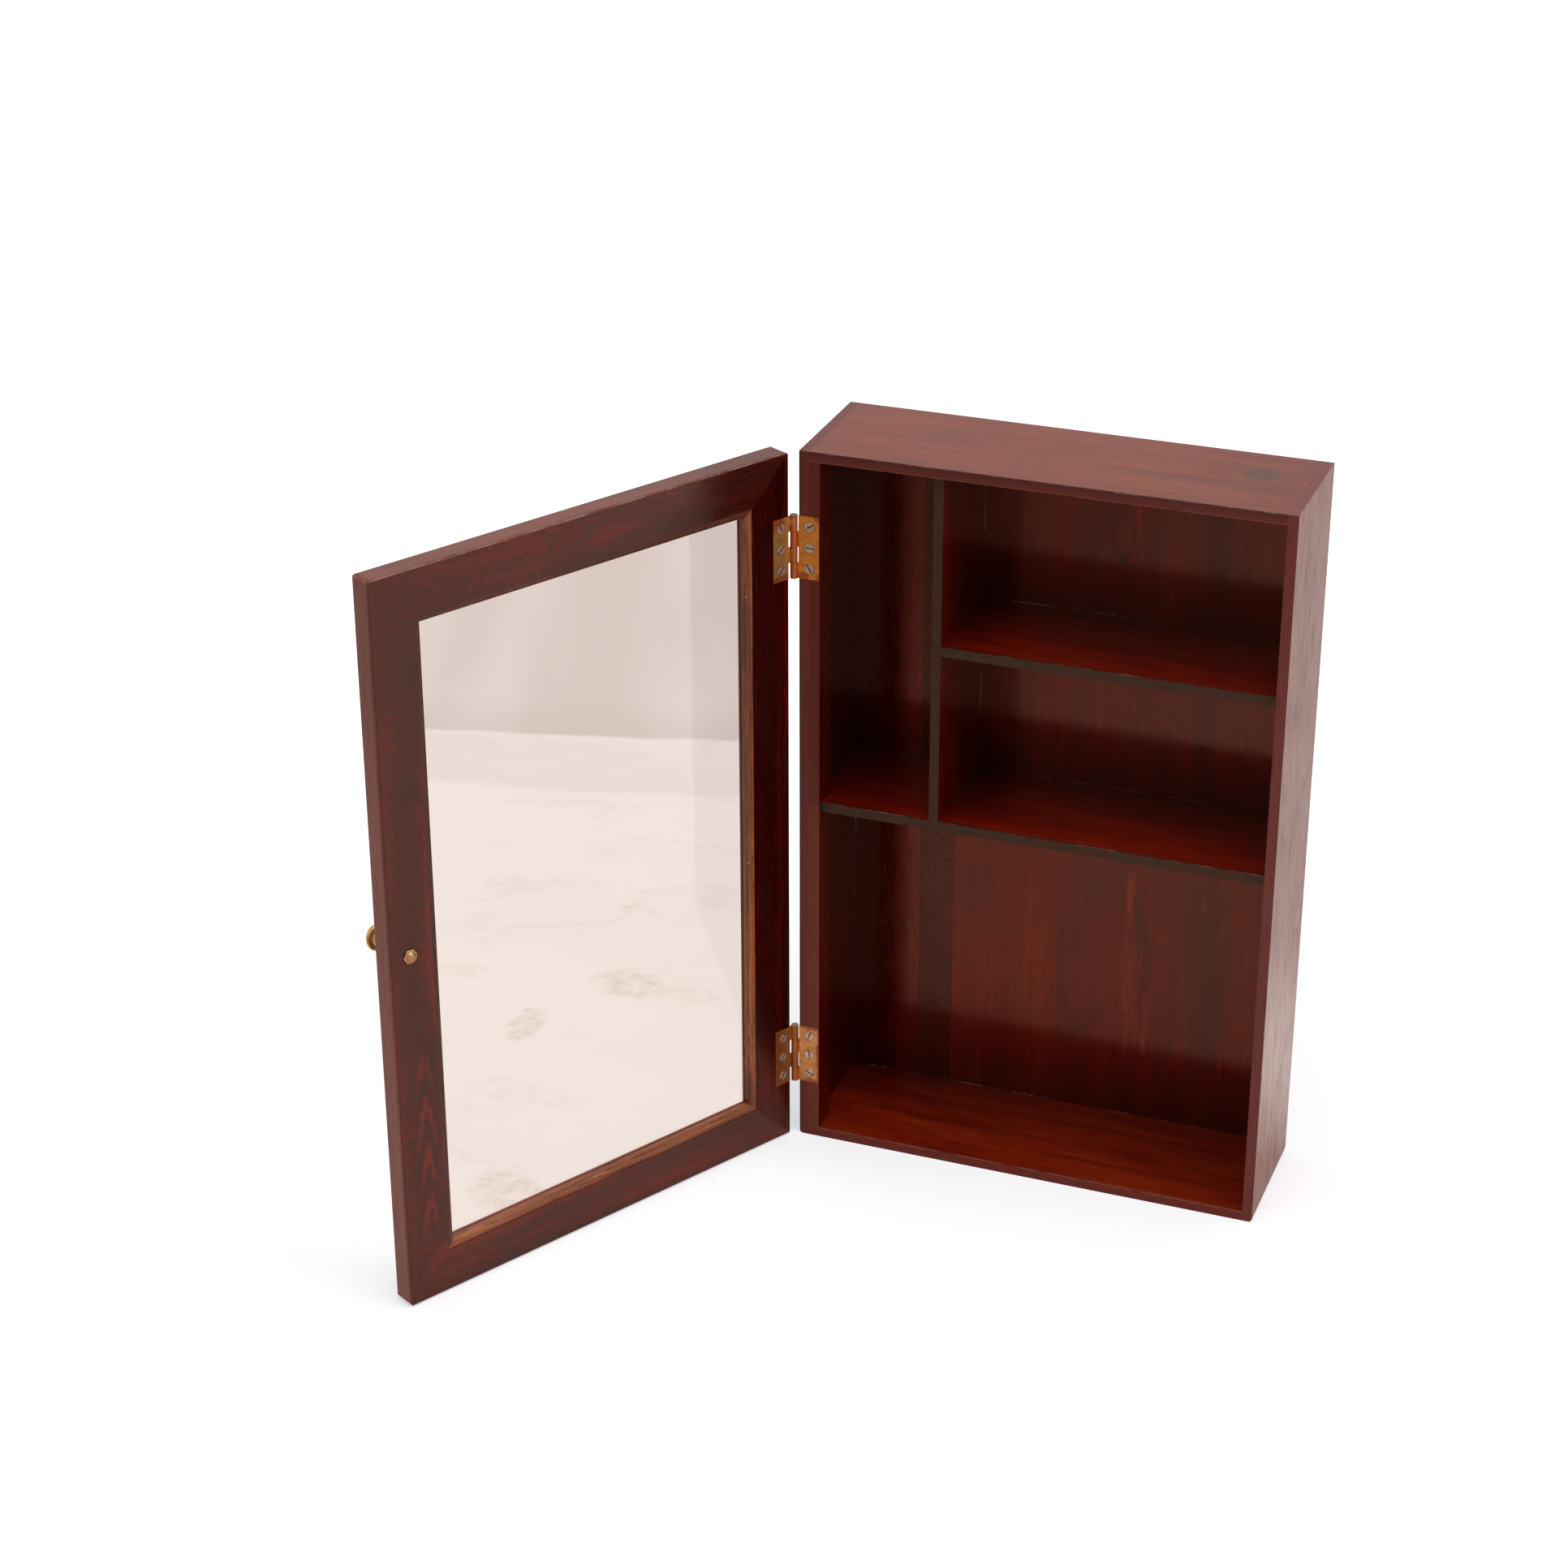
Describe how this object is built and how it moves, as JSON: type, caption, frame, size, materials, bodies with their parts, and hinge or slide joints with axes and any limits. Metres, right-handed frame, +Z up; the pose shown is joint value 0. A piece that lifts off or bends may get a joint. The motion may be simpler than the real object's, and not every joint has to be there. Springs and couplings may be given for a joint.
{
  "type": "display case",
  "caption": "Shallow wooden wall display case with shelves, an upright divider and a glazed frame door on brass butt hinges.",
  "frame": {"origin": "middle of the case's footprint, on the surface it stands on", "axes": "+Z up, +Y towards the wall behind the case, +X to the right as seen from the front; the front faces -Y; the door is swung open about the hinge pins at the left"},
  "size_m": [0.5987, 0.4483, 0.594],
  "materials": {
    "case_wood": "glossy lacquer",
    "inner_wood": "satin lacquer",
    "back_wood": "glossy lacquer",
    "door_wood": "glossy lacquer",
    "bead_wood": "worn lacquer",
    "brass": "aged, polished",
    "steel": "worn",
    "glass": "clear"
  },
  "bodies": {
    "case": {"left_side": "case_wood", "right_side": "case_wood", "top_board": "case_wood", "bottom_board": "case_wood", "hinge_batten": "inner_wood", "middle_shelf": "inner_wood", "shelf_slip": "inner_wood", "short_shelf": "inner_wood", "divider": "inner_wood", "back_board_left": "back_wood", "back_board_strip": "back_wood", "back_board_straight": "back_wood", "back_board_figured": "back_wood", "back_board_right": "back_wood", "upper_hinge_case_leaf": "brass", "lower_hinge_case_leaf": "brass", "upper_case_screws": "steel", "lower_case_screws": "steel"},
    "door": {"hinge_stile": "door_wood", "knob_stile": "door_wood", "top_rail": "door_wood", "bottom_rail": "door_wood", "glass_pane": "glass", "bead_hinge_side": "bead_wood", "bead_knob_side": "bead_wood", "bead_top": "bead_wood", "bead_bottom": "bead_wood", "bead_brads": "steel", "knob": "brass", "knob_nut": "brass", "upper_hinge_door_leaf": "brass", "lower_hinge_door_leaf": "brass", "upper_hinge_pin": "steel", "lower_hinge_pin": "steel", "upper_door_screws": "steel", "lower_door_screws": "steel"}
  },
  "joints": [
    {"name": "door_hinge", "type": "hinge", "parent": "case", "child": "door", "pos_m": [-0.193, -0.0571, 0.297], "axis": [0, 0, -1], "range_deg": [-118.5, 81.5]}
  ]
}
